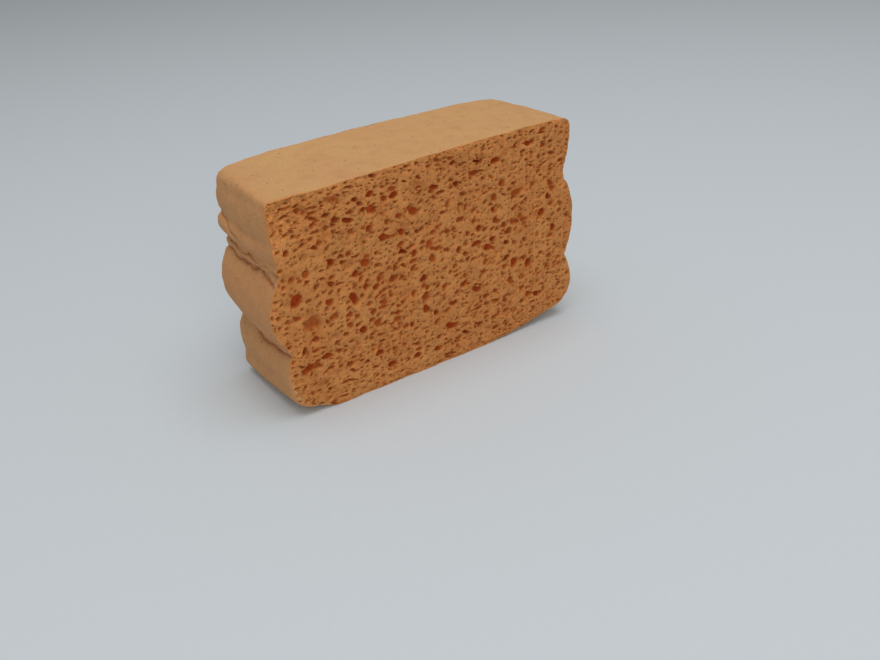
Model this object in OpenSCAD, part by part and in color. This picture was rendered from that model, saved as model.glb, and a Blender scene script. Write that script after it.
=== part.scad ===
// Painter's sponge: one block of foamed cellulose, swollen to its full size.
//
// The block was sliced from a long loaf, so its front and back are cut faces that
// show the open foam. A smooth moulded skin runs round it: under the foot, up the
// two ends and over the top. The ends keep the folds from when the sponge was
// pressed flat and dried, so each is a stack of rounded lobes with creases between.
//
// Millimetres. The block stands on its foot, the front cut face towards -Y, and
// the origin is on the ground under the middle of the block.

/* [Block] */
// Length over the widest lobes of the two ends
block_length = 158; // [130:1:200]
// Depth from one cut face to the other
block_depth = 55; // [35:1:90]
// Height of the standing block
block_height = 98; // [75:1:130]
// Length of the flat stretch that the block stands on
foot_length = 70; // [40:1:80]
// How far the middle of the foot lies to the left of the block's middle
foot_shift = 11; // [0:0.5:14]

/* [Folds] */
// Depth of a full crease below the lobes beside it
fold_depth = 7; // [3:0.5:10]
// How far the creases sag halfway between the cut faces
fold_sag = 2; // [0:0.5:4]
// How much further the lobes swell halfway between the cut faces
mid_swell = 0.8; // [0:0.1:2]

/* [Large pores] */
// Width of a usual large pore
large_pore = 5; // [3:0.5:6]
// Depth of the large pores
large_pore_depth = 3.5; // [1.5:0.5:6]

/* [Small pores] */
// Columns of small pores on each cut face
pore_columns = 24; // [8:1:25]
// Rows of small pores on each cut face
pore_rows = 16; // [6:1:17]
// Width of the smallest pores
pore_min = 1.7; // [1:0.1:2.2]
// Width of the widest small pores on the front
pore_max = 5; // [3:0.1:6]
// Width of the widest pores on the back
pore_max_back = 7; // [3:0.1:8]
// Depth of a small pore as a share of its width
pore_depth = 0.7; // [0.3:0.1:1]
// Width of the closed rim that the skin leaves round each cut face
rim = 2.5; // [1.5:0.5:6]
// Seed of the small pores' pattern
pore_seed = 11; // [1:1:99]

/* [Hidden] */

half_length = block_length / 2;
half_depth = block_depth / 2;

// Steps along one lobe, across the top, and between the cut faces
lobe_steps = 7;
top_steps = 14;
depth_steps = 8;

// How full an arch is: 1 is a plain sine arch, less is rounder with steeper ends
fullness = 0.85;
top_fullness = 0.4;
foot_fullness = 1;

// Stations up each end, from the foot to the top. Each row is [how far the skin is in
// from the widest lobe, its height, how far the lobe below it swells]: the first and
// last in fold depths, the height as a share of the block's height. The first and the
// last two rows turn the corners, and the rows between them are creases.
left_front = [
    [2.4, 0.02, 0.18],
    [0.7, 0.14, 0.50],
    [1.0, 0.32, 0.15],
    [1.0, 0.66, 1.02],
    [0.85, 0.71, 0.15],
    [0.75, 0.79, 0.10],
    [0.75, 0.925, 0.10],
    [1.3, 0.955, 0.15]
];
left_back = [
    [2.0, 0.005, 0.16],
    [1.15, 0.12, 0.55],
    [1.5, 0.295, 0.30],
    [1.2, 0.635, 0.82],
    [1.24, 0.675, 0.05],
    [1.12, 0.79, 0.33],
    [1.15, 0.90, 0.12],
    [2.15, 0.968, 0.30]
];
right_front = [
    [2.0, 0.06, 0.17],
    [0.05, 0.15, 0.35],
    [0.65, 0.33, 0.20],
    [1.0, 0.75, 0.82],
    [0.4, 0.95, 0.15],
    [1.0, 1.00, 0.15]
];
right_back = [
    [2.5, 0.05, 0.15],
    [0.6, 0.14, 0.40],
    [1.1, 0.30, 0.20],
    [1.2, 0.70, 0.75],
    [0.4, 0.94, 0.20],
    [0.7, 0.99, 0.28]
];

// How far the top rises over the line between its corners, at the two cut faces
top_rise_front = 0.012 * block_height;
top_rise_back = 0.021 * block_height;

// The large pores of the front face, from the foot up. Each row is [place along the
// block from -100 to 100, height as a percentage, width and height in usual large
// pores, lean in degrees].
large_pores = [
    [40, 7, 0.9, 0.5, 0], [-33, 9, 1.2, 0.6, 5], [-61, 10, 1.3, 0.3, 0],
    [9, 17, 1.5, 0.6, 0], [71, 17, 0.8, 0.6, 20], [-83, 22, 1.5, 0.8, -20],
    [-38, 22, 0.6, 0.3, 0], [-18, 25, 0.5, 0.7, 0], [-72, 25, 1.4, 0.6, 0],
    [11, 28, 1.0, 0.5, 0], [-8, 30, 0.8, 0.8, 0], [79, 30, 0.5, 0.9, 25],
    [-49, 31, 0.8, 0.7, 25], [-84, 31, 0.4, 1.0, 5], [65, 35, 0.9, 1.0, 15],
    [18, 36, 0.8, 1.0, 20], [5, 38, 0.7, 0.7, 0], [49, 41, 0.6, 0.8, 20],
    [-78, 42, 2.0, 1.6, 10], [-53, 47, 0.8, 1.4, -20], [49, 49, 0.7, 0.6, 0],
    [84, 49, 0.6, 0.8, 0], [-45, 50, 0.7, 0.9, 0], [28, 53, 1.5, 0.7, 0],
    [39, 53, 0.8, 0.6, 15], [-85, 54, 1.0, 1.4, 10], [-65, 56, 0.8, 0.6, 0],
    [76, 58, 0.8, 1.1, 0], [-21, 60, 0.9, 0.5, 25], [-4, 60, 0.9, 1.1, 30],
    [-44, 61, 1.2, 1.0, 30], [8, 63, 0.8, 0.6, 20], [80, 65, 0.7, 0.7, 0],
    [17, 67, 1.2, 0.6, 0], [82, 71, 0.6, 0.9, -35], [57, 72, 1.8, 0.7, 0],
    [-72, 74, 0.7, 0.5, 20], [-87, 75, 0.5, 0.8, 0], [-13, 77, 1.2, 0.8, 25],
    [46, 78, 0.9, 0.5, 0], [-52, 81, 1.1, 0.5, 15], [-38, 83, 1.1, 0.8, 0],
    [1, 85, 1.2, 0.5, 0], [28, 86, 1.5, 0.7, 0], [42, 89, 1.3, 0.7, 0],
    [-59, 91, 1.8, 0.6, 20], [30, 91, 1.2, 0.4, 0], [66, 93, 1.6, 0.5, 0]
];

// Sides of a large and of a small pore, and the share of its mouth that a large
// pore's floor still has
large_sides = 7;
small_sides = 5;
floor_share = 0.45;

// Share of its square that a small pore may move in, and its greatest lean in degrees
jitter = 0.9;
greatest_lean = 30;

// How much the small pores favour small widths: 1 makes all widths as common
small_bias = 1.6;

// Width of a small pore at the ends, and its height at mid height and at the skin, in
// its own width
end_width = 0.6;
mid_flatness = 0.9;
skin_flatness = 0.45;

// How suddenly the pores narrow near the ends and flatten near the foot and the top,
// and how square the stretch of each face is that has pores
end_power = 4;
skin_power = 3;
face_power = 6;

// How far a pore's cutter stands out of the cut face
lip = 0.5;

function mix(a, b, t) = a + (b - a) * t;

// Points after a, up to b, on an arch that swells to the right of the way from a to b
function arch(a, b, swell, full, steps) =
    let (way = (b - a) / norm(b - a))
    [for (i = [1 : steps])
        mix(a, b, i / steps) + [way[1], -way[0]] * swell * pow(sin(180 * i / steps), full)];

// Stations of one end at a depth of t, from 0 at the front to 1 at the back, as
// [x, z, swell], where side is -1 at the left end and 1 at the right
function stations(front, back, side, t) =
    let (mid = sin(180 * t), last = len(front) - 1)
    [for (i = [0 : last])
        let (row = mix(front[i], back[i], t), is_crease = i > 1 && i < last - 1)
        [side * (half_length - row[0] * fold_depth),
         row[1] * block_height - (is_crease ? mid * fold_sag : 0),
         row[2] * fold_depth + mid_swell * mid]];

function place(station) = [station[0], station[1]];

// Outline of the block at a depth of t, seen from the front and run anticlockwise
function outline(t) =
    let (
        left = stations(left_front, left_back, -1, t),
        right = stations(right_front, right_back, 1, t),
        left_top = len(left) - 1,
        right_top = len(right) - 1,
        foot_left = [-foot_shift - foot_length / 2, 0],
        foot_right = [-foot_shift + foot_length / 2, 0],
        top_rise = mix(top_rise_front, top_rise_back, t)
    )
    [
        each arch(foot_right, place(right[0]), right[0][2], foot_fullness, lobe_steps),
        for (i = [1 : right_top])
            each arch(place(right[i - 1]), place(right[i]), right[i][2], fullness, lobe_steps),
        each arch(place(right[right_top]), place(left[left_top]), top_rise, top_fullness,
            top_steps),
        for (i = [left_top : -1 : 1])
            each arch(place(left[i]), place(left[i - 1]), left[i][2], fullness, lobe_steps),
        each arch(place(left[0]), foot_left, left[0][2], foot_fullness, lobe_steps),
        foot_right
    ];

// The solid through the outlines, from the front cut face to the back one. What would
// swell below the foot is pressed flat against the ground.
module block() {
    rings = [for (k = [0 : depth_steps]) outline(k / depth_steps)];
    count = len(rings[0]);
    points = [
        for (k = [0 : depth_steps]) let (y = mix(-half_depth, half_depth, k / depth_steps))
            for (p = rings[k]) [p[0], y, max(p[1], 0)]
    ];
    front = [[for (i = [count - 1 : -1 : 0]) i]];
    back = [[for (i = [0 : count - 1]) depth_steps * count + i]];
    skin = [
        for (k = [0 : depth_steps - 1]) for (i = [0 : count - 1])
            let (a = k * count + i, b = k * count + (i + 1) % count)
            each [[a, b, b + count], [a, b + count, a + count]]
    ];
    polyhedron(points, concat(front, back, skin));
}

// Whether a pore of radius r at x along and z up stays inside the closed rim
function on_face(x, z, r) =
    let (
        reach_x = half_length - fold_depth - rim - r,
        reach_z = block_height / 2 - rim - r
    )
    pow(abs(x) / reach_x, face_power)
        + pow(abs(z - block_height / 2) / reach_z, face_power) < 1;

function large_x(p) = p[0] / 100 * half_length;
function large_z(p) = p[1] / 100 * block_height;
function large_radius(p) = max(p[2], p[3]) * large_pore / 2;

// Distance from a point to the edge of the nearest large pore
function room(x, z) =
    min([for (p = large_pores) norm([x - large_x(p), z - large_z(p)]) - large_radius(p)]);

// One end of a large pore: a ring whose tip points the way of inwards, 1 or -1
module pore_end(width, height, inwards) {
    scale([width, 1, height])
        rotate([-90 * inwards, 0, 0])
            cylinder(h = lip / 2, d1 = 1, d2 = 0, $fn = large_sides);
}

module large_pore_cut(p) {
    width = p[2] * large_pore;
    height = p[3] * large_pore;
    translate([large_x(p), -half_depth, large_z(p)])
        rotate([0, -p[4], 0])
            hull() {
                translate([0, -lip, 0]) pore_end(width, height, 1);
                translate([0, large_pore_depth, 0])
                    pore_end(width * floor_share, height * floor_share, -1);
            }
}

// A cone from just outside the cut face down to a point
module small_pore_cut(width, height, lean) {
    rotate([0, lean, 0])
        scale([width, 1, height])
            rotate([-90, 0, 0])
                translate([0, 0, -lip])
                    cylinder(h = width * pore_depth + lip, d1 = 1, d2 = 0, $fn = small_sides);
}

// Small pores on a jittered grid: flat near the top and the foot, narrow near the
// ends, and clear of the rim and of the large pores where the face has them
module small_pores(seed, widest, beside_large) {
    step_x = block_length / pore_columns;
    step_z = block_height / pore_rows;
    chance = rands(0, 1, 4 * pore_columns * pore_rows, seed);
    for (i = [0 : pore_columns - 1]) for (j = [0 : pore_rows - 1]) {
        pick = 4 * (i * pore_rows + j);
        x = (i + 0.5 + jitter * (chance[pick] - 0.5)) * step_x - half_length;
        z = (j + 0.5 + jitter * (chance[pick + 1] - 0.5)) * step_z;
        size = mix(pore_min, widest, pow(chance[pick + 2], small_bias));
        to_end = pow(abs(x) / half_length, end_power);
        to_skin = pow(abs(2 * z / block_height - 1), skin_power);
        if (on_face(x, z, size / 2) && (!beside_large || room(x, z) > size / 2))
            translate([x, -half_depth, z])
                small_pore_cut(
                    size * mix(1, end_width, to_end),
                    size * mix(mid_flatness, skin_flatness, to_skin),
                    mix(-greatest_lean, greatest_lean, chance[pick + 3]));
    }
}

module sponge() {
    color("sandybrown") difference() {
        block();
        for (p = large_pores) if (on_face(large_x(p), large_z(p), 0)) large_pore_cut(p);
        small_pores(pore_seed, pore_max, true);
        rotate([0, 0, 180]) small_pores(pore_seed + 1, pore_max_back, false);
    }
}

sponge();
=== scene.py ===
"""Expanded cellulose sponge: an open-pored foam block with moulded skin, on a plain floor.

The block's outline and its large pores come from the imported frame. Geometry Nodes give the skin
its creases and grow the small pores of the two cut faces.
"""
import math

import bmesh
import bpy
import numpy as np
from bpy.props import FloatProperty, FloatVectorProperty, IntProperty, PointerProperty
from bpy.types import NodeSocket, Operator, Panel, PropertyGroup
from mathutils import Matrix, Vector


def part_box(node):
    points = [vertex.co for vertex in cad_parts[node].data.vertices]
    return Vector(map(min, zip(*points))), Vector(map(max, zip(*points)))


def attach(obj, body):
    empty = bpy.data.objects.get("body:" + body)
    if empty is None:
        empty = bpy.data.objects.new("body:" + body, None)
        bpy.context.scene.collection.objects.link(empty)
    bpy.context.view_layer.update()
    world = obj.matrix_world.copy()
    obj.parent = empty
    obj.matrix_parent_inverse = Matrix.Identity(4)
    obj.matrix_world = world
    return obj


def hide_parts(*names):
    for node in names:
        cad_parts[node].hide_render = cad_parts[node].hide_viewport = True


bl_info = {
    "name": "Cellulose Sponge",
    "version": (1, 0, 0),
    "blender": (4, 5, 0),
    "location": "View3D > Sidebar > Sponge",
    "description": "Builds an expanded cellulose sponge block and a stage to look at it on",
    "category": "Object",
}

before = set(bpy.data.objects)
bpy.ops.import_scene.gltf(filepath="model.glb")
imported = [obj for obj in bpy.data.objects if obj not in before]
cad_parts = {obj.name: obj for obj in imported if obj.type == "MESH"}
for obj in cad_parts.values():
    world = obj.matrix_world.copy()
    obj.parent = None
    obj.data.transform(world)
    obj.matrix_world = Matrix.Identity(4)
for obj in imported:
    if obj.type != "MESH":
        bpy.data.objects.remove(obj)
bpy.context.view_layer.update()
NODE = "sponge"
LOW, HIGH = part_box(NODE)

MM = 0.001
MATH = "ShaderNodeMath"
VECTOR = "ShaderNodeVectorMath"
NOISE = "ShaderNodeTexNoise"
RANGE = "ShaderNodeMapRange"
MIX = "ShaderNodeMix"
VORONOI = "ShaderNodeTexVoronoi"
SPLIT = "ShaderNodeSeparateXYZ"
JOIN = "ShaderNodeCombineXYZ"
STORE = "GeometryNodeStoreNamedAttribute"
READ = "GeometryNodeInputNamedAttribute"

# What makes a Mix node mix colours, and its output for them.
COLOURS = {"out": 2, "data_type": "RGBA"}
# Nearly all values of a noise lie between these.
SPREAD = {"From Min": 0.3, "From Max": 0.7}
# What makes a range fall from one to nothing.
FALL = {"To Min": 1.0, "To Max": 0.0}


# --- Small helpers -------------------------------------------------------------------------


def linear(code):
    """An sRGB hex colour such as '#c09464' as linear red, green, blue and alpha."""
    parts = [int(code[i : i + 2], 16) / 255 for i in (1, 3, 5)]
    return [p / 12.92 if p <= 0.04045 else ((p + 0.055) / 1.055) ** 2.4 for p in parts] + [1.0]


def add(tree, kind, links=None, out=0, **settings):
    """Add a node with its settings and links, and return one output, or all if out is None."""
    made = tree.nodes.new(kind)
    for name, value in settings.items():
        setattr(made, name, value)
    for name, value in (links or {}).items():
        if isinstance(value, NodeSocket):
            tree.links.new(value, made.inputs[name])
        else:
            made.inputs[name].default_value = value
    return made.outputs if out is None else made.outputs[out]


def new_tree(name, inputs, results):
    """A Geometry Nodes tree with named sockets, its inputs and its result node."""
    tree = bpy.data.node_groups.new(name, "GeometryNodeTree")
    for label, kind, value in inputs:
        made = tree.interface.new_socket(label, in_out="INPUT", socket_type="NodeSocket" + kind)
        if value is not None:
            made.default_value = value
    for label, kind in results:
        tree.interface.new_socket(label, in_out="OUTPUT", socket_type="NodeSocket" + kind)
    return tree, tree.nodes.new("NodeGroupInput").outputs, tree.nodes.new("NodeGroupOutput").inputs


def with_tree(obj, tree, values):
    """Put a Geometry Nodes tree on an object, with its inputs set by their identifiers."""
    modifier = obj.modifiers.new(tree.name, "NODES")
    modifier.node_group = tree
    for item in tree.interface.items_tree:
        if item.in_out == "INPUT" and item.name in values:
            modifier[item.identifier] = values[item.name]


def bake(obj):
    """Turn an object and its modifiers into a plain mesh."""
    graph = bpy.context.evaluated_depsgraph_get()
    evaluated = obj.evaluated_get(graph)
    mesh = bpy.data.meshes.new_from_object(
        evaluated, preserve_all_data_layers=True, depsgraph=graph
    )
    obj.modifiers.clear()
    obj.data = mesh


def link(name, data):
    """A new object at the origin."""
    obj = bpy.data.objects.new(name, data)
    bpy.context.scene.collection.objects.link(obj)
    return obj


# --- The block's form, from the frame -------------------------------------------------------


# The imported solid's loose triangles are welded within this distance.
WELD = 0.001 * MM
# A corner this close to the plane of a cut face lies in it.
ON_FACE = 0.02 * MM
# Triangles are joined into quads at nearly any angle, in radians, so that no diagonal shows.
ANY_ANGLE = 3.1
# Corners of the finished mesh that are closer together than this are one.
SLIVER = 0.005 * MM
# How often the finished mesh is gone over at most, until it is closed.
PASSES = 8


def face_groups(shape):
    """The faces of a bmesh in connected groups, the largest first."""
    left = set(shape.faces)
    groups = []
    while left:
        stack = [left.pop()]
        group = []
        while stack:
            face = stack.pop()
            group.append(face)
            near = {other for edge in face.edges for other in edge.link_faces} & left
            left -= near
            stack.extend(near)
        groups.append(group)
    return sorted(groups, key=len, reverse=True)


def close_shell(obj):
    """Cut a mesh into triangles, take its slivers, flaps and stray faces out, and close the
    pinholes that they leave."""
    shape = bmesh.new()
    shape.from_mesh(obj.data)
    for _ in range(PASSES):
        bmesh.ops.remove_doubles(shape, verts=shape.verts[:], dist=SLIVER)
        bmesh.ops.dissolve_degenerate(shape, edges=shape.edges[:], dist=SLIVER)
        bmesh.ops.triangulate(shape, faces=[f for f in shape.faces if len(f.verts) > 3])

        # A flap is two faces back to back, with the same corners.
        twins = {}
        for face in shape.faces:
            twins.setdefault(frozenset(face.verts), []).append(face)
        flaps = [f for same in twins.values() if len(same) > 1 for f in same[:2]]
        bmesh.ops.delete(shape, geom=flaps, context="FACES")
        crowded = {v for edge in shape.edges if len(edge.link_faces) > 2 for v in edge.verts}
        bmesh.ops.delete(shape, geom=list(crowded), context="VERTS")
        stray = [f for group in face_groups(shape)[1:] for f in group]
        bmesh.ops.delete(shape, geom=stray, context="FACES")
        loose = [v for v in shape.verts if not v.link_faces]
        bmesh.ops.delete(shape, geom=loose, context="VERTS")

        rims = [edge for edge in shape.edges if edge.is_boundary]
        if not rims and not crowded:
            break
        filled = bmesh.ops.holes_fill(shape, edges=rims, sides=0)["faces"]
        for face in filled:
            near = [f for edge in face.edges for f in edge.link_faces if f is not face]
            face.material_index = near[0].material_index
    bmesh.ops.recalc_face_normals(shape, faces=shape.faces[:])
    shape.to_mesh(obj.data)
    shape.free()


def split_block():
    """The solid's skin as a bmesh, open at both cut faces, and the pits cut into those faces."""
    shape = bmesh.new()
    shape.from_mesh(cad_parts[NODE].data)
    bmesh.ops.remove_doubles(shape, verts=shape.verts, dist=WELD)
    for cut in (LOW.y, HIGH.y):
        flat = [f for f in shape.faces if all(abs(v.co.y - cut) < ON_FACE for v in f.verts)]
        bmesh.ops.delete(shape, geom=flat, context="FACES")
    skin, *pits = face_groups(shape)
    points = [np.array([v.co for v in {v for f in pit for v in f.verts}]) for pit in pits]
    bmesh.ops.delete(shape, geom=[f for pit in pits for f in pit], context="FACES")
    bmesh.ops.join_triangles(
        shape,
        faces=shape.faces[:],
        angle_face_threshold=ANY_ANGLE,
        angle_shape_threshold=ANY_ANGLE,
    )
    return shape, points


def pit_cloud(points):
    """A mesh with one point at the mouth of each pit, which holds the pit's half sizes and lean."""
    places, halves, leans = [], [], []
    for pit in points:
        cut = LOW.y if pit[:, 1].min() < LOW.y + ON_FACE else HIGH.y
        mouth = pit[np.abs(pit[:, 1] - cut) < ON_FACE][:, [0, 2]]
        middle = mouth.mean(0)
        axes = np.linalg.eigh(np.cov((mouth - middle).T))[1]
        short, long = np.abs((mouth - middle) @ axes).max(0)
        places.append((middle[0], cut, middle[1]))
        halves.append((long, np.abs(pit[:, 1] - cut).max(), short))
        leans.append(-math.atan2(axes[1, 1], axes[0, 1]))
    mesh = bpy.data.meshes.new("pits")
    mesh.from_pydata(places, [], [])
    mesh.attributes.new("half_size", "FLOAT_VECTOR", "POINT").data.foreach_set(
        "vector", np.array(halves, np.float32).ravel()
    )
    mesh.attributes.new("lean", "FLOAT", "POINT").data.foreach_set(
        "value", np.array(leans, np.float32)
    )
    return mesh


def cage_mesh(skin, overhang):
    """The skin, run past both cut faces by the overhang and closed there."""
    sharp = skin.edges.layers.float.new("crease_edge")
    for cut, out in ((LOW.y, -1), (HIGH.y, 1)):
        rim = [
            e
            for e in skin.edges
            if len(e.link_faces) == 1 and all(abs(v.co.y - cut) < ON_FACE for v in e.verts)
        ]
        made = bmesh.ops.extrude_edge_only(skin, edges=rim)["geom"]
        moved = {g for g in made if isinstance(g, bmesh.types.BMVert)}
        ring = [g for g in made if isinstance(g, bmesh.types.BMEdge) and set(g.verts) <= moved]
        for v in moved:
            v.co.y += out * overhang
        for e in ring:
            e[sharp] = 1.0
        bmesh.ops.contextual_create(skin, geom=ring)
    bmesh.ops.recalc_face_normals(skin, faces=skin.faces[:])
    mesh = bpy.data.meshes.new("cage")
    skin.to_mesh(mesh)
    skin.free()
    custom = mesh.attributes.get("custom_normal")
    if custom:
        mesh.attributes.remove(custom)
    return mesh


# --- Geometry Nodes: pores ------------------------------------------------------------------


# Below one, the first makes for more large pores, and the second for steeper rims.
SIZE_POWER = 0.75
BOWL_POWER = 0.65


def pore_layer_tree():
    """Round pores of one size range: how deep the pore is at a place, and 0 outside all pores."""
    tree, given, result = new_tree(
        "Pore Layer",
        (
            ("Place", "Vector", None),
            ("Cell", "Float", 5 * MM),
            ("Rarity", "Float", 0.3),
            ("Reach", "Float", 0.45),
            ("Steepness", "Float", 0.6),
            ("Seed", "Float", 0.0),
        ),
        (("Depth", "Float"),),
    )
    start = add(tree, VECTOR, {0: (0.17, 0.31, 0.0), "Scale": given["Seed"]}, operation="SCALE")
    place = add(tree, VECTOR, {0: given["Place"], 1: start})
    per_metre = add(tree, MATH, {0: 1.0, 1: given["Cell"]}, operation="DIVIDE")
    links = {"Vector": place, "Scale": per_metre}
    cells = add(tree, VORONOI, links, out=None, voronoi_dimensions="2D")
    chance = add(tree, "FunctionNodeSeparateColor", {0: cells["Color"]})
    size = add(tree, RANGE, {"Value": chance, "From Min": given["Rarity"], "From Max": 1.0})
    size = add(tree, MATH, {0: size, 1: SIZE_POWER}, operation="POWER")
    radius = add(tree, MATH, {0: size, 1: given["Reach"]}, operation="MULTIPLY")
    inside = add(tree, MATH, {0: radius, 1: cells["Distance"]}, operation="SUBTRACT")
    inside = add(tree, MATH, {0: inside, 1: 0.0}, operation="MAXIMUM")
    inside = add(tree, MATH, {0: inside, 1: given["Cell"]}, operation="MULTIPLY")

    # A bowl is worked out in millimetres.
    bowl = add(tree, MATH, {0: inside, 1: 1 / MM}, operation="MULTIPLY")
    bowl = add(tree, MATH, {0: bowl, 1: BOWL_POWER}, operation="POWER")
    bowl = add(tree, MATH, {0: bowl, 1: given["Steepness"]}, operation="MULTIPLY")
    bowl = add(tree, MATH, {0: bowl, 1: MM}, operation="MULTIPLY")
    tree.links.new(bowl, result["Depth"])
    return tree


# Cell size, share of cells without a pore, reach of a pore in its cell and how steep a pore is:
# the coarse ones are shallow dishes, where the knife took only a bubble's end.
PORE_LAYERS = (
    (9.0 * MM, 0.3, 0.42, 0.35),
    (5.5 * MM, 0.45, 0.38, 1.7),
    (3.4 * MM, 0.45, 0.44, 1.8),
    (2.1 * MM, 0.4, 0.44, 1.6),
)

# The corner whose cut edge has crumbled away, and how far round it the crumbling goes.
CRUMBLED_CORNER = Vector((LOW.x + 8 * MM, LOW.y, HIGH.z - 8 * MM))
CRUMBLED_REACH = 20 * MM
# Keeps the layers' random draws apart.
SEED_STEP = 7.0


def cutter_tree(layer):
    """What is cut away at one face: the air in front of it and the pores that open there."""
    tree, given, result = new_tree(
        "Open Pores",
        (
            ("Pits", "Geometry", None),
            ("Skin", "Object", None),
            ("Face", "Float", 0.0),
            ("Outward", "Float", 1.0),
            ("Voxel", "Float", 0.4 * MM),
            ("Deepest", "Float", 3.4 * MM),
            ("Seed", "Float", 0.0),
        ),
        (("Cutter", "Geometry"),),
    )
    place = add(tree, "GeometryNodeInputPosition")
    x, y, z = add(tree, SPLIT, {0: place}, out=None)
    inward = add(tree, MATH, {0: given["Outward"], 1: -1.0}, operation="MULTIPLY")
    depth = add(tree, MATH, {0: y, 1: given["Face"]}, operation="SUBTRACT")
    depth = add(tree, MATH, {0: depth, 1: inward}, operation="MULTIPLY")

    # A pore opens straight outwards, so it is measured where it meets the plane of the face.
    # Bubbles aren't round: every place is pushed about first.
    mouth = add(tree, JOIN, {0: x, 1: given["Face"], 2: z})
    push = add(tree, NOISE, {"Vector": mouth, "Scale": 1 / (4 * MM), "Detail": 1.5}, out=1)
    push = add(tree, VECTOR, {0: push, 1: (0.5, 0.5, 0.5)}, operation="SUBTRACT")
    push = add(tree, VECTOR, {0: push, "Scale": 3.2 * MM}, operation="SCALE")
    bent = add(tree, VECTOR, {0: mouth, 1: push})

    # All bubbles lie on a slant, and near the top and the foot, where the foam was pressed, they
    # are flatter.
    bx, _, bz = add(tree, SPLIT, {0: bent}, out=None)
    half_height = HIGH.z / 2
    level = add(tree, RANGE, {"Value": bz, "From Max": HIGH.z, "To Min": -1.0}, clamp=False)
    cube = add(tree, MATH, {0: level, 1: level}, operation="MULTIPLY")
    cube = add(tree, MATH, {0: cube, 1: level}, operation="MULTIPLY")
    even = add(tree, MATH, {0: level, 1: 1.5 * half_height}, operation="MULTIPLY")
    pressed = add(tree, MATH, {0: cube, 1: 0.5 * half_height, 2: even}, operation="MULTIPLY_ADD")
    slanted = add(tree, MATH, {0: bx, 1: -0.25, 2: pressed}, operation="MULTIPLY_ADD")
    packed = add(tree, JOIN, {0: bx, 1: slanted})

    pores = None
    for number, (cell, rarity, reach, steepness) in enumerate(PORE_LAYERS):
        seed = add(tree, MATH, {0: given["Seed"], 1: SEED_STEP * number})
        links = {"Place": packed, "Cell": cell, "Rarity": rarity, "Reach": reach}
        links.update({"Steepness": steepness, "Seed": seed})
        found = add(tree, "GeometryNodeGroup", links, node_tree=layer)
        if pores is None:
            pores = found
        else:
            pores = add(tree, MATH, {0: pores, 1: found, 2: 0.2 * MM}, operation="SMOOTH_MAX")

    # The large pores stand where the solid has them, so each place looks at its nearest one.
    pits = given["Pits"]
    nearest = add(tree, "GeometryNodeSampleNearest", {"Geometry": pits, "Sample Position": place})
    half = add(tree, READ, {"Name": "half_size"}, data_type="FLOAT_VECTOR")
    lean = add(tree, READ, {"Name": "lean"}, data_type="FLOAT")
    half, lean, pit_place = [
        add(
            tree,
            "GeometryNodeSampleIndex",
            {"Geometry": pits, "Value": value, "Index": nearest},
            data_type=kind,
        )
        for value, kind in ((half, "FLOAT_VECTOR"), (lean, "FLOAT"), (place, "FLOAT_VECTOR"))
    ]
    # Each is cut to its own share of the depth that the solid gives it.
    chance = add(
        tree,
        "FunctionNodeRandomValue",
        {2: 0.5, 3: 1.15, "ID": nearest, "Seed": 5},
        out=1,
        data_type="FLOAT",
    )
    wide, deep, tall = add(tree, SPLIT, {0: half}, out=None)
    flat = add(tree, JOIN, {0: wide, 1: 1.0, 2: tall})
    offset = add(tree, VECTOR, {0: bent, 1: pit_place}, operation="SUBTRACT")
    offset = add(tree, VECTOR, {0: offset, 1: (1.0, 0.0, 1.0)}, operation="MULTIPLY")
    turned = add(
        tree,
        "ShaderNodeVectorRotate",
        {"Vector": offset, "Angle": lean},
        rotation_type="Y_AXIS",
    )
    share = add(tree, VECTOR, {0: turned, 1: flat}, operation="DIVIDE")
    share = add(tree, VECTOR, {0: share}, out=1, operation="LENGTH")
    large = add(
        tree,
        RANGE,
        {"Value": share, "From Min": 1.12, "From Max": 0.5},
        interpolation_type="SMOOTHSTEP",
    )
    large = add(tree, MATH, {0: large, 1: deep}, operation="MULTIPLY")
    large = add(tree, MATH, {0: large, 1: chance}, operation="MULTIPLY")
    # The widest are shallow dishes, where the knife took only a bubble's end.
    links = {"Value": wide, "From Min": 3 * MM, "From Max": 5 * MM, "To Min": 1.0, "To Max": 0.35}
    dish = add(tree, RANGE, links)
    large = add(tree, MATH, {0: large, 1: dish}, operation="MULTIPLY")
    pores = add(tree, MATH, {0: pores, 1: large, 2: 0.3 * MM}, operation="SMOOTH_MAX")

    # The skin stays whole, except round the crumbled corner.
    tube = add(tree, "GeometryNodeObjectInfo", {"Object": given["Skin"]}, out="Geometry")
    under = add(
        tree, "GeometryNodeProximity", {"Geometry": tube, "Sample Position": place}, out="Distance"
    )
    corner = add(tree, VECTOR, {0: place, 1: CRUMBLED_CORNER}, out=1, operation="DISTANCE")
    corner = add(tree, RANGE, {"Value": corner, "From Max": CRUMBLED_REACH, **FALL})
    inner = add(tree, RANGE, {"Value": under, "From Min": 0.2 * MM, "From Max": 1.0 * MM})
    inner = add(tree, MATH, {0: inner, 1: corner}, operation="MAXIMUM")
    pores = add(tree, MATH, {0: pores, 1: inner}, operation="MULTIPLY")
    pores = add(tree, MATH, {0: pores, 1: given["Deepest"], 2: 0.5 * MM}, operation="SMOOTH_MIN")

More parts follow.
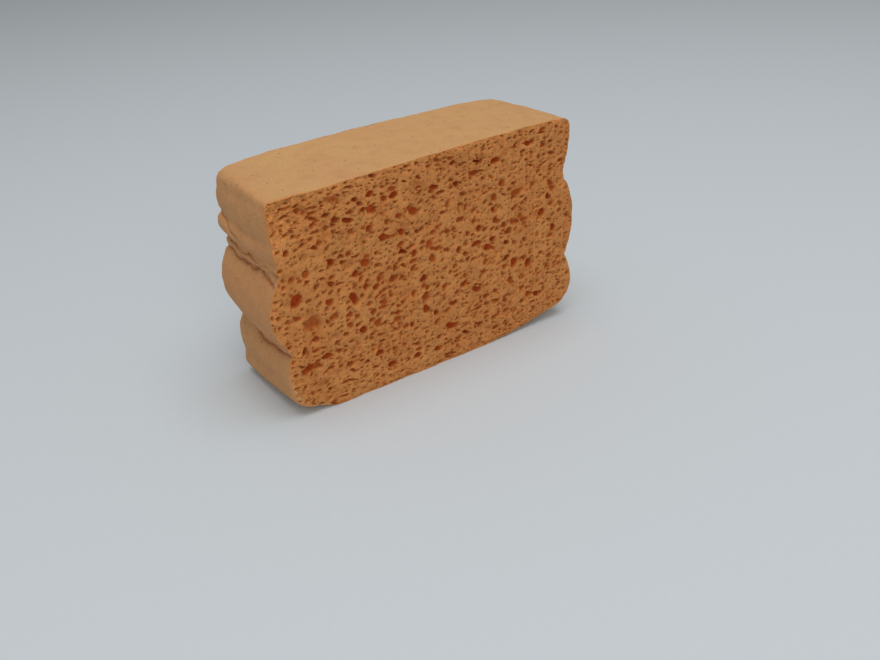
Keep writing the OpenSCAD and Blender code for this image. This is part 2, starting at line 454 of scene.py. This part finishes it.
    # The knife's face isn't flat: it waves, and broken cell walls make it rough.
    wave = add(tree, NOISE, {"Vector": mouth, "Scale": 1 / (16 * MM), "Detail": 1.0})
    wave = add(tree, RANGE, {"Value": wave, "To Min": -0.4 * MM, "To Max": 1.1 * MM})
    rim = add(tree, RANGE, {"Value": under, "From Max": 1.5 * MM, "To Min": 0.4, "To Max": 0.0})
    ragged = add(tree, MATH, {0: corner, 1: rim}, operation="MAXIMUM")
    crumb = add(tree, NOISE, {"Vector": mouth, "Scale": 1 / (2.4 * MM), "Detail": 3.0})
    crumb = add(tree, MATH, {0: crumb, 1: 2.4 * MM}, operation="MULTIPLY")
    wave = add(tree, MATH, {0: crumb, 1: ragged, 2: wave}, operation="MULTIPLY_ADD")
    worn = add(tree, MATH, {0: corner, 1: 2.0}, operation="POWER")
    wave = add(tree, MATH, {0: worn, 1: 2.5 * MM, 2: wave}, operation="MULTIPLY_ADD")
    rough = add(tree, NOISE, {"Vector": mouth, "Scale": 1 / (1.2 * MM), "Detail": 2.0})
    rough = add(tree, RANGE, {"Value": rough, "To Min": -0.3 * MM, "To Max": 0.3 * MM})
    surface = add(tree, MATH, {0: wave, 1: rough})
    surface = add(tree, MATH, {0: surface, 1: pores})
    below = add(tree, MATH, {0: depth, 1: wave}, operation="SUBTRACT")
    cut = add(tree, MATH, {0: surface, 1: depth}, operation="SUBTRACT")

    blur = add(tree, MATH, {0: given["Voxel"], 1: 2.0}, operation="MULTIPLY")
    blur_low = add(tree, MATH, {0: blur, 1: -1.0}, operation="MULTIPLY")
    density = add(tree, RANGE, {"Value": cut, "From Min": blur_low, "From Max": blur})

    # The slab of space that the cutter fills, from in front of the face to below the pores.
    front = 1.8 * MM
    back = add(tree, MATH, {0: given["Deepest"], 1: 4 * MM})
    middle = add(tree, MATH, {0: back, 1: front}, operation="SUBTRACT")
    middle = add(tree, MATH, {0: middle, 1: 0.5}, operation="MULTIPLY")
    middle = add(tree, MATH, {0: middle, 1: inward, 2: given["Face"]}, operation="MULTIPLY_ADD")
    thick = add(tree, MATH, {0: back, 1: front})
    margin = 2 * MM
    centre = add(tree, JOIN, {0: (LOW.x + HIGH.x) / 2, 1: middle, 2: (LOW.z + HIGH.z) / 2})
    links = {0: HIGH.x - LOW.x + 2 * margin, 1: thick, 2: HIGH.z - LOW.z + 2 * margin}
    span = add(tree, JOIN, links)
    reach = add(tree, VECTOR, {0: span, "Scale": 0.5}, operation="SCALE")
    least_corner = add(tree, VECTOR, {0: centre, 1: reach}, operation="SUBTRACT")
    most_corner = add(tree, VECTOR, {0: centre, 1: reach})
    counts = add(tree, VECTOR, {0: span, 1: given["Voxel"]}, operation="DIVIDE")
    count_x, count_y, count_z = add(tree, SPLIT, {0: counts}, out=None)
    volume = add(
        tree,
        "GeometryNodeVolumeCube",
        {
            "Density": density,
            "Background": 0.0,
            "Min": least_corner,
            "Max": most_corner,
            "Resolution X": count_x,
            "Resolution Y": count_y,
            "Resolution Z": count_z,
        },
    )
    mesh = add(tree, "GeometryNodeVolumeToMesh", {"Volume": volume, "Threshold": 0.5})

    # The materials read these.
    for name, value, kind, domain in (
        ("cut_face", True, "BOOLEAN", "FACE"),
        ("pore_depth", below, "FLOAT", "POINT"),
        ("ragged", ragged, "FLOAT", "POINT"),
    ):
        links = {"Geometry": mesh, "Name": name, "Value": value}
        mesh = add(tree, STORE, links, data_type=kind, domain=domain)
    tree.links.new(mesh, result["Cutter"])
    return tree


# --- Geometry Nodes: the skinned block -------------------------------------------------------

# Each crease of the left and the right end, as (y, z) points in millimetres from back to front.
LEFT_CREASES = (
    ((27, 77), (19, 75), (14, 72), (8, 71)),
    ((29, 66), (16, 65), (9, 64), (2, 65), (-7, 64), (-16, 65), (-24, 65)),
    ((29, 62), (15, 60), (1, 60), (-9, 62), (-15, 61), (-24, 60)),
    ((27, 31), (11, 29), (2, 26), (-12, 28), (-26, 29)),
)
RIGHT_CREASES = (
    ((27, 71), (9, 69), (-8, 71), (-26, 70)),
    ((27, 42), (18, 39), (8, 33)),
    ((27, 33), (12, 31), (-9, 33), (-26, 32)),
)
# The ends' creases lie in two planes this far from the block's middle, out of each other's reach.
END_PLANE = 75 * MM
# How often neighbours are averaged: to roll the lowest lobe under, and to find the folds.
ROLL_BLUR = 120
FOLD_BLUR = 70


def crease_lines():
    """The creases of both ends as chains of edges."""
    points, edges = [], []
    for side, creases in ((-1, LEFT_CREASES), (1, RIGHT_CREASES)):
        for crease in creases:
            edges += [(len(points) + i, len(points) + i + 1) for i in range(len(crease) - 1)]
            points += [(side * END_PLANE, y * MM, z * MM) for y, z in crease]
    mesh = bpy.data.meshes.new("creases")
    mesh.from_pydata(points, edges, [])
    return mesh


def block_tree(skin, foam):
    """The cage made smooth and creased, with the pores of both faces cut out of it."""
    tree, given, result = new_tree(
        "Foam Block",
        (
            ("Cage", "Geometry", None),
            ("Creases", "Object", None),
            ("Front Cutter", "Object", None),
            ("Back Cutter", "Object", None),
            ("Lump", "Float", 0.9 * MM),
            ("Wrinkle", "Float", 0.8 * MM),
            ("Crease", "Float", 1.0 * MM),
        ),
        (("Block", "Geometry"),),
    )
    smooth = add(tree, "GeometryNodeSubdivisionSurface", {"Mesh": given["Cage"], "Level": 4})
    place = add(tree, "GeometryNodeInputPosition")
    normal = add(tree, "GeometryNodeInputNormal")
    x, _, z = add(tree, SPLIT, {0: place}, out=None)

    # The lowest lobe of the left end rolls under without an edge.
    links = {"Value": place, "Iterations": ROLL_BLUR}
    even = add(tree, "GeometryNodeBlurAttribute", links, data_type="FLOAT_VECTOR")
    rolled = add(tree, VECTOR, {0: even, 1: place}, operation="SUBTRACT")
    low = add(tree, RANGE, {"Value": z, "From Min": 24 * MM, "From Max": 16 * MM})
    left = add(tree, RANGE, {"Value": x, "From Min": -52 * MM, "From Max": -62 * MM})
    low = add(tree, MATH, {0: low, 1: left}, operation="MULTIPLY")
    rolled = add(tree, VECTOR, {0: rolled, "Scale": low}, operation="SCALE")
    smooth = add(tree, "GeometryNodeSetPosition", {"Geometry": smooth, "Offset": rolled})

    lump = add(tree, NOISE, {"Vector": place, "Scale": 1 / (9 * MM), "Detail": 3.0})
    lump = add(tree, MATH, {0: lump, 1: 0.5}, operation="SUBTRACT")
    lump = add(tree, MATH, {0: lump, 1: given["Lump"]}, operation="MULTIPLY")

    # The ends are wrinkled along the block's depth.
    along = add(tree, VECTOR, {0: place, 1: (1.0, 0.3, 1.0)}, operation="MULTIPLY")
    fold = add(tree, NOISE, {"Vector": along, "Scale": 1 / (5 * MM), "Detail": 2.0})
    fold = add(tree, MATH, {0: fold, 1: 0.5}, operation="SUBTRACT")
    reach = add(tree, MATH, {0: x}, operation="ABSOLUTE")
    at_end = add(tree, RANGE, {"Value": reach, "From Min": 62 * MM, "From Max": 70 * MM})
    fold = add(tree, MATH, {0: fold, 1: at_end}, operation="MULTIPLY")
    raised = add(tree, MATH, {0: fold, 1: given["Wrinkle"], 2: lump}, operation="MULTIPLY_ADD")

    # Creases are drawn in the plane of the ends, so they are looked for there.
    waver = add(tree, NOISE, {"Vector": place, "Scale": 1 / (7 * MM), "Detail": 2.0}, out=1)
    waver = add(tree, VECTOR, {0: waver, 1: (0.5, 0.5, 0.5)}, operation="SUBTRACT")
    waver = add(tree, VECTOR, {0: waver, "Scale": 3 * MM}, operation="SCALE")
    seen = add(tree, VECTOR, {0: place, 1: waver})
    _, seen_y, seen_z = add(tree, SPLIT, {0: seen}, out=None)
    side = add(tree, MATH, {0: x}, operation="SIGN")
    side = add(tree, MATH, {0: side, 1: END_PLANE}, operation="MULTIPLY")
    flat = add(tree, JOIN, {0: side, 1: seen_y, 2: seen_z})
    lines = add(tree, "GeometryNodeObjectInfo", {"Object": given["Creases"]}, out="Geometry")
    away = add(
        tree,
        "GeometryNodeProximity",
        {"Geometry": lines, "Sample Position": flat},
        out="Distance",
        target_element="EDGES",
    )
    groove = add(tree, RANGE, {"Value": away, "From Max": 1.9 * MM, **FALL})
    groove = add(tree, MATH, {0: groove, 1: 2.0}, operation="POWER")
    groove = add(tree, MATH, {0: groove, 1: at_end}, operation="MULTIPLY")
    groove = add(tree, MATH, {0: groove, 1: given["Crease"]}, operation="MULTIPLY")
    raised = add(tree, MATH, {0: raised, 1: groove}, operation="SUBTRACT")
    off_ground = add(tree, RANGE, {"Value": z, "From Min": 0.0, "From Max": 4 * MM})
    raised = add(tree, MATH, {0: raised, 1: off_ground}, operation="MULTIPLY")
    offset = add(tree, VECTOR, {0: normal, "Scale": raised}, operation="SCALE")
    uneven = add(tree, "GeometryNodeSetPosition", {"Geometry": smooth, "Offset": offset})

    # How deep in a fold each point lies, for the painted shade in the skin's folds.
    links = {"Value": place, "Iterations": FOLD_BLUR}
    even = add(tree, "GeometryNodeBlurAttribute", links, data_type="FLOAT_VECTOR")
    hollow = add(tree, VECTOR, {0: even, 1: place}, operation="SUBTRACT")
    hollow = add(tree, VECTOR, {0: hollow, 1: normal}, out=1, operation="DOT_PRODUCT")
    hollow = add(tree, RANGE, {"Value": hollow, "From Min": 0.0, "From Max": 0.5 * MM})
    links = {"Geometry": uneven, "Name": "fold", "Value": hollow}
    body = add(tree, STORE, links, data_type="FLOAT", domain="POINT")

    cut = tree.nodes.new("GeometryNodeMeshBoolean")
    cut.operation = "DIFFERENCE"
    cut.solver = "MANIFOLD"
    tree.links.new(body, cut.inputs["Mesh 1"])
    for side in ("Front Cutter", "Back Cutter"):
        cutter = add(tree, "GeometryNodeObjectInfo", {"Object": given[side]}, out="Geometry")
        tree.links.new(cutter, cut.inputs["Mesh 2"])

    # Crumbs that the cut leaves loose are dropped.
    island = add(tree, "GeometryNodeInputMeshIsland")
    ends = add(tree, "GeometryNodeFieldMinAndMax", {"Value": x, "Group ID": island}, out=None)
    length = add(tree, MATH, {0: ends["Max"], 1: ends["Min"]}, operation="SUBTRACT")
    loose = add(tree, MATH, {0: length, 1: 40 * MM}, operation="LESS_THAN")
    whole = add(
        tree, "GeometryNodeDeleteGeometry", {"Geometry": cut.outputs["Mesh"], "Selection": loose}
    )
    real = add(tree, "GeometryNodeRealizeInstances", {"Geometry": whole})
    skinned = add(tree, "GeometryNodeSetMaterial", {"Geometry": real, "Material": skin})
    marked = add(tree, READ, {"Name": "cut_face"}, data_type="BOOLEAN")
    done = add(
        tree,
        "GeometryNodeSetMaterial",
        {"Geometry": skinned, "Material": foam, "Selection": marked},
    )
    tree.links.new(done, result["Block"])
    return tree


# --- Materials --------------------------------------------------------------------------------


def new_material(name):
    """A new material, its tree, its shader and the place on the object in millimetres."""
    material = bpy.data.materials.new(name)
    material.use_nodes = True
    tree = material.node_tree
    shader = next(n for n in tree.nodes if n.type == "BSDF_PRINCIPLED")
    own = add(tree, "ShaderNodeTexCoord", out="Object")
    place = add(tree, "ShaderNodeMapping", {"Vector": own, "Scale": (1 / MM,) * 3})
    return material, tree, shader, place


def foam_material(look):
    """Expanded cellulose foam, cut with a knife: matte, with torn cell walls that are painted pale
    where they stick out, and pores painted redder and darker the deeper they go, as painted shade
    in the pores and painted glow of light scattered through the foam."""
    material, tree, shader, place = new_material("cut_cellulose_foam")
    # Painted shade and painted glow: pores are painted darker and redder with depth, in place of
    # the shade deep in a pore and the light the foam scatters there.
    depth = add(tree, "ShaderNodeAttribute", out="Fac", attribute_name="pore_depth")
    depth = add(tree, MATH, {0: depth, 1: 1 / MM}, operation="MULTIPLY")
    inside = add(tree, RANGE, {"Value": depth, "From Min": 0.1, "From Max": 1.4})
    deep = add(tree, RANGE, {"Value": depth, "From Min": 1.1, "From Max": 2.8})

    patch = add(tree, NOISE, {"Vector": place, "Scale": 1 / 14, "Detail": 2.0})
    patch = add(tree, RANGE, {"Value": patch, "From Min": 0.35, "From Max": 0.65})
    links = {0: patch, "A": list(look.face_colour), "B": list(look.patch_colour)}
    face = add(tree, MIX, links, **COLOURS)
    shaded_wall = add(tree, MIX, {0: inside, "A": face, "B": list(look.shaded_wall_colour)}, **COLOURS)
    colour = add(tree, MIX, {0: deep, "A": shaded_wall, "B": list(look.deep_shade_colour)}, **COLOURS)

    # Cells too small to model, one to two millimetres across: their walls are thin and raised and
    # painted paler, and some of them are open and painted darker inside, as painted light and shade
    # on top of the bump.
    stray = add(tree, NOISE, {"Vector": place, "Scale": 1 / 2.5, "Detail": 2.0}, out=1)
    stray = add(tree, VECTOR, {0: stray, "Scale": 1.6}, operation="SCALE")
    strayed = add(tree, VECTOR, {0: place, 1: stray})
    height = None
    for cell, share in ((2.0, 0.6), (1.0, 0.4)):
        links = {"Vector": strayed, "Scale": 1 / cell}
        edge = add(tree, VORONOI, links, out="Distance", feature="DISTANCE_TO_EDGE")
        opening = add(tree, RANGE, {"Value": edge, "From Min": 0.03, "From Max": 0.25})
        chance = add(tree, VORONOI, links, out="Color")
        chance = add(tree, "ShaderNodeSeparateColor", {0: chance})
        links = {"Value": chance, "From Min": 0.2, "From Max": 0.9, "To Max": share}
        chance = add(tree, RANGE, links)
        sunk_and_shade = add(tree, MATH, {0: opening, 1: chance}, operation="MULTIPLY")
        height = sunk_and_shade if height is None else add(tree, MATH, {0: height, 1: sunk_and_shade})
    torn = add(tree, NOISE, {"Vector": place, "Scale": 1 / 0.6, "Detail": 3.0})
    torn = add(tree, RANGE, {"Value": torn, **SPREAD, "To Min": -0.2, "To Max": 0.2})
    height = add(tree, MATH, {0: torn, 1: height}, operation="SUBTRACT")
    # Painted shade and painted light: the open cells are painted darker and the raised walls paler.
    links = {"Value": height, "From Min": -1.0, "From Max": 0.2, "To Min": 0.72, "To Max": 1.16}
    tone = add(tree, RANGE, links)
    mottle = add(tree, NOISE, {"Vector": place, "Scale": 1 / 3.5, "Detail": 1.0})
    mottle = add(tree, RANGE, {"Value": mottle, **SPREAD, "To Min": 0.9, "To Max": 1.08})
    tone = add(tree, MATH, {0: tone, 1: mottle}, operation="MULTIPLY")

    # Torn shreds stand up pale along the rim and most of all at the crumbled corner.
    ragged = add(tree, "ShaderNodeAttribute", out="Fac", attribute_name="ragged")
    shred = add(tree, NOISE, {"Vector": strayed, "Scale": 1 / 1.3, "Detail": 2.0})
    links = {"Value": shred, "From Min": 0.35, "From Max": 0.65, "To Min": -0.35, "To Max": 0.4}
    shred = add(tree, RANGE, links)
    tone = add(tree, MATH, {0: shred, 1: ragged, 2: tone}, operation="MULTIPLY_ADD")
    colour = add(tree, VECTOR, {0: colour, "Scale": tone}, operation="SCALE")
    bump = add(tree, "ShaderNodeBump", {"Height": height, "Distance": 0.4 * MM, "Strength": 0.6})
    tree.links.new(colour, shader.inputs["Base Color"])
    tree.links.new(bump, shader.inputs["Normal"])
    shader.inputs["Roughness"].default_value = 0.92
    shader.inputs["Specular IOR Level"].default_value = 0.25
    return material


def skin_material(look):
    """Moulded cellulose skin: close and smooth to the touch, with fine pale flecks, pinholes
    painted dark as painted shade, painted shade along the end wrinkles and on the left end, and
    painted darker and rosier where it is folded in on itself, as painted shade in the folds."""
    material, tree, shader, place = new_material("moulded_cellulose_skin")
    x, y, _ = add(tree, SPLIT, {0: place}, out=None)
    patch = add(tree, NOISE, {"Vector": place, "Scale": 1 / 25, "Detail": 3.0})
    patch = add(tree, RANGE, {"Value": patch, **SPREAD})
    links = {0: patch, "A": list(look.skin_colour), "B": list(look.rosy_colour)}
    base = add(tree, MIX, links, **COLOURS)
    # Painted shade: the left end is painted darker and more saturated than the top, for the light
    # it gets less of.
    left = add(tree, RANGE, {"Value": x, "From Min": -66.0, "From Max": -76.0})
    base = add(tree, MIX, {0: left, "A": base, "B": list(look.left_end_shade_colour)}, **COLOURS)
    fleck = add(tree, NOISE, {"Vector": place, "Scale": 1 / 0.7, "Detail": 3.0})
    tone = add(tree, RANGE, {"Value": fleck, **SPREAD, "To Min": 0.9, "To Max": 1.08})
    base = add(tree, VECTOR, {0: base, "Scale": tone}, operation="SCALE")
    # Pinholes are painted as dark dots: painted shade inside holes too small to model.
    pinhole_shade = add(tree, VORONOI, {"Vector": place, "Scale": 1 / 6}, out="Distance")
    pinhole_shade = add(tree, RANGE, {"Value": pinhole_shade, "From Min": 0.05, "From Max": 0.1, "To Min": 0.45})
    base = add(tree, VECTOR, {0: base, "Scale": pinhole_shade}, operation="SCALE")

    # Fine wrinkles where the ends were pressed: thin wandering lines about a centimetre apart.
    stray = add(tree, NOISE, {"Vector": place, "Scale": 1 / 6, "Detail": 3.0}, out=1)
    stray = add(tree, VECTOR, {0: stray, "Scale": 9.0}, operation="SCALE")
    strayed = add(tree, VECTOR, {0: place, 1: stray})
    links = {"Vector": strayed, "Scale": 1 / 11}
    line = add(tree, VORONOI, links, out="Distance", feature="DISTANCE_TO_EDGE")
    line = add(tree, RANGE, {"Value": line, "From Max": 0.05, **FALL})
    at_end = add(tree, MATH, {0: x}, operation="ABSOLUTE")
    at_end = add(tree, RANGE, {"Value": at_end, "From Min": 60.0, "From Max": 70.0, "To Min": 0.15})
    line = add(tree, MATH, {0: line, 1: at_end}, operation="MULTIPLY")
    # The wrinkle lines are painted darker: painted shade down in the wrinkles; the same lines make
    # the bump.
    wrinkle_shade = add(tree, RANGE, {"Value": line, "To Min": 1.0, "To Max": 0.91})
    base = add(tree, VECTOR, {0: base, "Scale": wrinkle_shade}, operation="SCALE")
    height = add(tree, MATH, {0: fleck, 1: line}, operation="SUBTRACT")
    # Painted shade: the skin is painted darker and rosier the deeper it lies in a fold.
    fold = add(tree, "ShaderNodeAttribute", out="Fac", attribute_name="fold")
    colour = add(tree, MIX, {0: fold, "A": base, "B": list(look.fold_shade_colour)}, **COLOURS)

    # Along the rim the skin frays into crumbs of the foam below, most of all at the worn corner.
    # Millimetres from the block's middle plane are counted, and the cut faces lie at 27.5.
    side = add(tree, MATH, {0: y}, operation="ABSOLUTE")
    corner = add(tree, VECTOR, {0: place, 1: CRUMBLED_CORNER / MM}, out=1, operation="DISTANCE")
    links = {"Value": corner, "From Min": 6.0, "From Max": 18.0, "To Min": 3.5, "To Max": 0.0}
    corner = add(tree, RANGE, links)
    side = add(tree, MATH, {0: side, 1: corner})
    bite = add(tree, NOISE, {"Vector": place, "Scale": 1 / 1.6, "Detail": 3.0})
    side = add(tree, MATH, {0: bite, 1: 3.5, 2: side}, operation="MULTIPLY_ADD")
    frayed = add(tree, RANGE, {"Value": side, "From Min": 27.6, "From Max": 28.6})
    speck = add(tree, RANGE, {"Value": fleck, **SPREAD, "To Min": 0.7, "To Max": 1.5})
    crumbs = add(tree, VECTOR, {0: list(look.face_colour)[:3], "Scale": speck}, operation="SCALE")
    colour = add(tree, MIX, {0: frayed, "A": colour, "B": crumbs}, **COLOURS)
    bump = add(tree, "ShaderNodeBump", {"Height": height, "Distance": 0.2 * MM, "Strength": 0.4})
    tree.links.new(colour, shader.inputs["Base Color"])
    tree.links.new(bump, shader.inputs["Normal"])
    shader.inputs["Roughness"].default_value = 0.8
    shader.inputs["Specular IOR Level"].default_value = 0.3
    return material


def floor_material(stage):
    """Matte paper sweep: plain and pale, with no shine."""
    material, tree, shader, place = new_material("matte_paper")
    fibre = add(tree, NOISE, {"Vector": place, "Scale": 1 / 3, "Detail": 2.0})
    tone = add(tree, RANGE, {"Value": fibre, "To Min": 0.985, "To Max": 1.015})
    colour = add(tree, VECTOR, {0: list(stage.floor_colour)[:3], "Scale": tone}, operation="SCALE")
    tree.links.new(colour, shader.inputs["Base Color"])
    shader.inputs["Roughness"].default_value = 0.95
    return material


# --- Settings ---------------------------------------------------------------------------------


def colour_setting(name, description, code):
    """A colour that can be changed in the sidebar."""
    return FloatVectorProperty(
        name=name, description=description, default=linear(code), size=4, subtype="COLOR"
    )


class FoamSettings(PropertyGroup):
    """Sizes and colours of the foam block."""

    voxel: FloatProperty(
        name="Pore detail",
        description="Smallest step in the shape of a pore",
        default=0.4 * MM,
        min=0.2 * MM,
        unit="LENGTH",
    )
    deepest: FloatProperty(
        name="Deepest pore",
        description="How far a pore reaches in from its cut face",
        default=3.4 * MM,
        unit="LENGTH",
    )
    seed: FloatProperty(name="Seed", description="Another number grows other pores", default=3.0)
    triangles: IntProperty(
        name="Triangles",
        description="Most triangles that the finished block may have",
        default=195000,
    )
    face_colour: colour_setting("Cut face", "Colour of the cut face", "#ca874b")
    patch_colour: colour_setting(
        "Cut face patches", "Colour of the darker patches of the cut face", "#c17b41"
    )
    # Painted shade and painted glow: the pore walls and the deep pores are painted darker and
    # redder than the face.
    shaded_wall_colour: colour_setting("Pore walls", "Colour of the walls just inside a pore", "#ab5c24")
    deep_shade_colour: colour_setting("Deep pores", "Colour at the bottom of a deep pore", "#b64510")
    skin_colour: colour_setting("Skin", "Colour of the skin", "#cfa068")
    rosy_colour: colour_setting(
        "Skin patches", "Colour of the rosier patches of the skin", "#cb9865"
    )
    # Painted shade on the left end.
    left_end_shade_colour: colour_setting("Left end", "Colour of the skin at the left end", "#cc915d")
    # Painted shade in the skin's folds.
    fold_shade_colour: colour_setting("Folds", "Colour of the skin deep in a fold", "#a8623c")


class StageSettings(PropertyGroup):
    """Floor and light."""

    floor_colour: colour_setting("Floor", "Colour of the floor", "#cfd6da")
    key_power: FloatProperty(
        name="Main lamp", description="Power of the lamp above", default=11.6, unit="POWER"
    )
    fill_power: FloatProperty(
        name="Side lamp", description="Power of the lamp in front", default=5.4, unit="POWER"
    )
    sky: FloatProperty(
        name="Room light", description="Strength of the light all round", default=0.32
    )


# --- Operators --------------------------------------------------------------------------------


# How far the cage runs past a cut face before it is cut, and from what angle an edge of the
# finished block is sharp.
OVERHANG = 1.2 * MM
SHARP = math.radians(60)

# Half the side of the floor.
FLOOR_REACH = 6.0
# Where the camera stands, the way it looks, its roll, and its lens and sensor in millimetres.
CAMERA_PLACE = (-0.2004, -0.3177, 0.2047)
CAMERA_AIM = (0.5006, 0.7272, -0.4696)
CAMERA_ROLL = math.radians(-3.02)
CAMERA_LENS = 36.79
CAMERA_SENSOR = 36.0


class SPONGE_OT_foam_block(Operator):
    """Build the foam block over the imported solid"""

    bl_idname = "sponge.foam_block"
    bl_label = "Foam Block"

    def execute(self, context):
        look = context.scene.sponge_foam
        skin, pits = split_block()
        tube_mesh = bpy.data.meshes.new("tube")
        skin.to_mesh(tube_mesh)
        tube = link("tube", tube_mesh)
        creases = link("creases", crease_lines())
        cloud = pit_cloud(pits)
        layer = pore_layer_tree()
        cutting = cutter_tree(layer)
        cutters = []
        for number, (face, outward) in enumerate(((LOW.y, -1.0), (HIGH.y, 1.0))):
            cutter = link(f"cutter_{number}", cloud.copy())
            values = {
                "Skin": tube,
                "Face": face,
                "Outward": outward,
                "Voxel": look.voxel,
                "Deepest": look.deepest,
                "Seed": look.seed + number,
            }
            with_tree(cutter, cutting, values)
            bake(cutter)
            cutters.append(cutter)
        block = link("foam_block", cage_mesh(skin, OVERHANG))
        tree = block_tree(skin_material(look), foam_material(look))
        values = {"Creases": creases, "Front Cutter": cutters[0], "Back Cutter": cutters[1]}
        with_tree(block, tree, values)
        bake(block)
        for helper in (*cutters, creases, tube):
            bpy.data.objects.remove(helper)
        count = sum(len(p.vertices) - 2 for p in block.data.polygons)
        if count > look.triangles:
            fewer = block.modifiers.new("Fewer", "DECIMATE")
            fewer.ratio = look.triangles / count
            bake(block)
        close_shell(block)
        block.data.shade_smooth()
        block.data.set_sharp_from_angle(angle=SHARP)
        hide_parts(NODE)
        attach(block, "root")
        return {"FINISHED"}


class SPONGE_OT_stage(Operator):
    """Build the floor, the lamps and the camera"""

    bl_idname = "sponge.stage"
    bl_label = "Stage"

    def execute(self, context):
        scene = context.scene
        look = scene.sponge_stage
        floor_mesh = bpy.data.meshes.new("floor")
        turns = ((-1, -1), (1, -1), (1, 1), (-1, 1))
        corners = [(x * FLOOR_REACH, y * FLOOR_REACH, 0.0) for x, y in turns]
        floor_mesh.from_pydata(corners, [], [(0, 1, 2, 3)])
        floor = link("floor", floor_mesh)
        floor_mesh.materials.append(floor_material(look))

        for name, power, size, place in (
            ("main_lamp", look.key_power, 1.4, (0.0, -0.25, 1.5)),
            ("side_lamp", look.fill_power, 1.0, (-0.55, -1.25, 0.75)),
        ):
            lamp = bpy.data.lights.new(name, "AREA")
            lamp.shape = "DISK"
            lamp.size = size
            lamp.energy = power
            obj = link(name, lamp)
            obj.location = place
            obj.rotation_euler = (-Vector(place)).to_track_quat("-Z", "Y").to_euler()

        world = bpy.data.worlds.new("room")
        scene.world = world
        world.use_nodes = True
        background = world.node_tree.nodes["Background"]
        background.inputs["Color"].default_value = (1.0, 1.0, 1.0, 1.0)
        background.inputs["Strength"].default_value = look.sky

        camera = link("camera", bpy.data.cameras.new("camera"))
        camera.data.lens = CAMERA_LENS
        camera.data.sensor_width = CAMERA_SENSOR
        forward = Vector(CAMERA_AIM).normalized()
        right = forward.cross(Vector((0, 0, 1))).normalized()
        up = right.cross(forward)
        side = math.cos(CAMERA_ROLL) * right + math.sin(CAMERA_ROLL) * up
        top = side.cross(forward)
        turn = Matrix((side, top, -forward)).transposed().to_4x4()
        camera.matrix_world = Matrix.Translation(CAMERA_PLACE) @ turn
        scene.camera = camera
        scene.view_settings.view_transform = "Standard"
        return {"FINISHED"}


class SPONGE_PT_panel(Panel):
    """The sponge's pieces and settings in the sidebar"""

    bl_label = "Sponge"
    bl_idname = "SPONGE_PT_panel"
    bl_space_type = "VIEW_3D"
    bl_region_type = "UI"
    bl_category = "Sponge"

    def draw(self, context):
        for operator, settings in (
            (SPONGE_OT_foam_block, context.scene.sponge_foam),
            (SPONGE_OT_stage, context.scene.sponge_stage),
        ):
            box = self.layout.box()
            for name in settings.__annotations__:
                box.prop(settings, name)
            box.operator(operator.bl_idname)


CLASSES = (FoamSettings, StageSettings, SPONGE_OT_foam_block, SPONGE_OT_stage, SPONGE_PT_panel)


def register():
    for kind in CLASSES:
        bpy.utils.register_class(kind)
    bpy.types.Scene.sponge_foam = PointerProperty(type=FoamSettings)
    bpy.types.Scene.sponge_stage = PointerProperty(type=StageSettings)


def unregister():
    del bpy.types.Scene.sponge_foam
    del bpy.types.Scene.sponge_stage
    for kind in reversed(CLASSES):
        bpy.utils.unregister_class(kind)


def main():
    register()
    bpy.ops.sponge.stage()
    bpy.ops.sponge.foam_block()


if __name__ == "__main__":
    main()
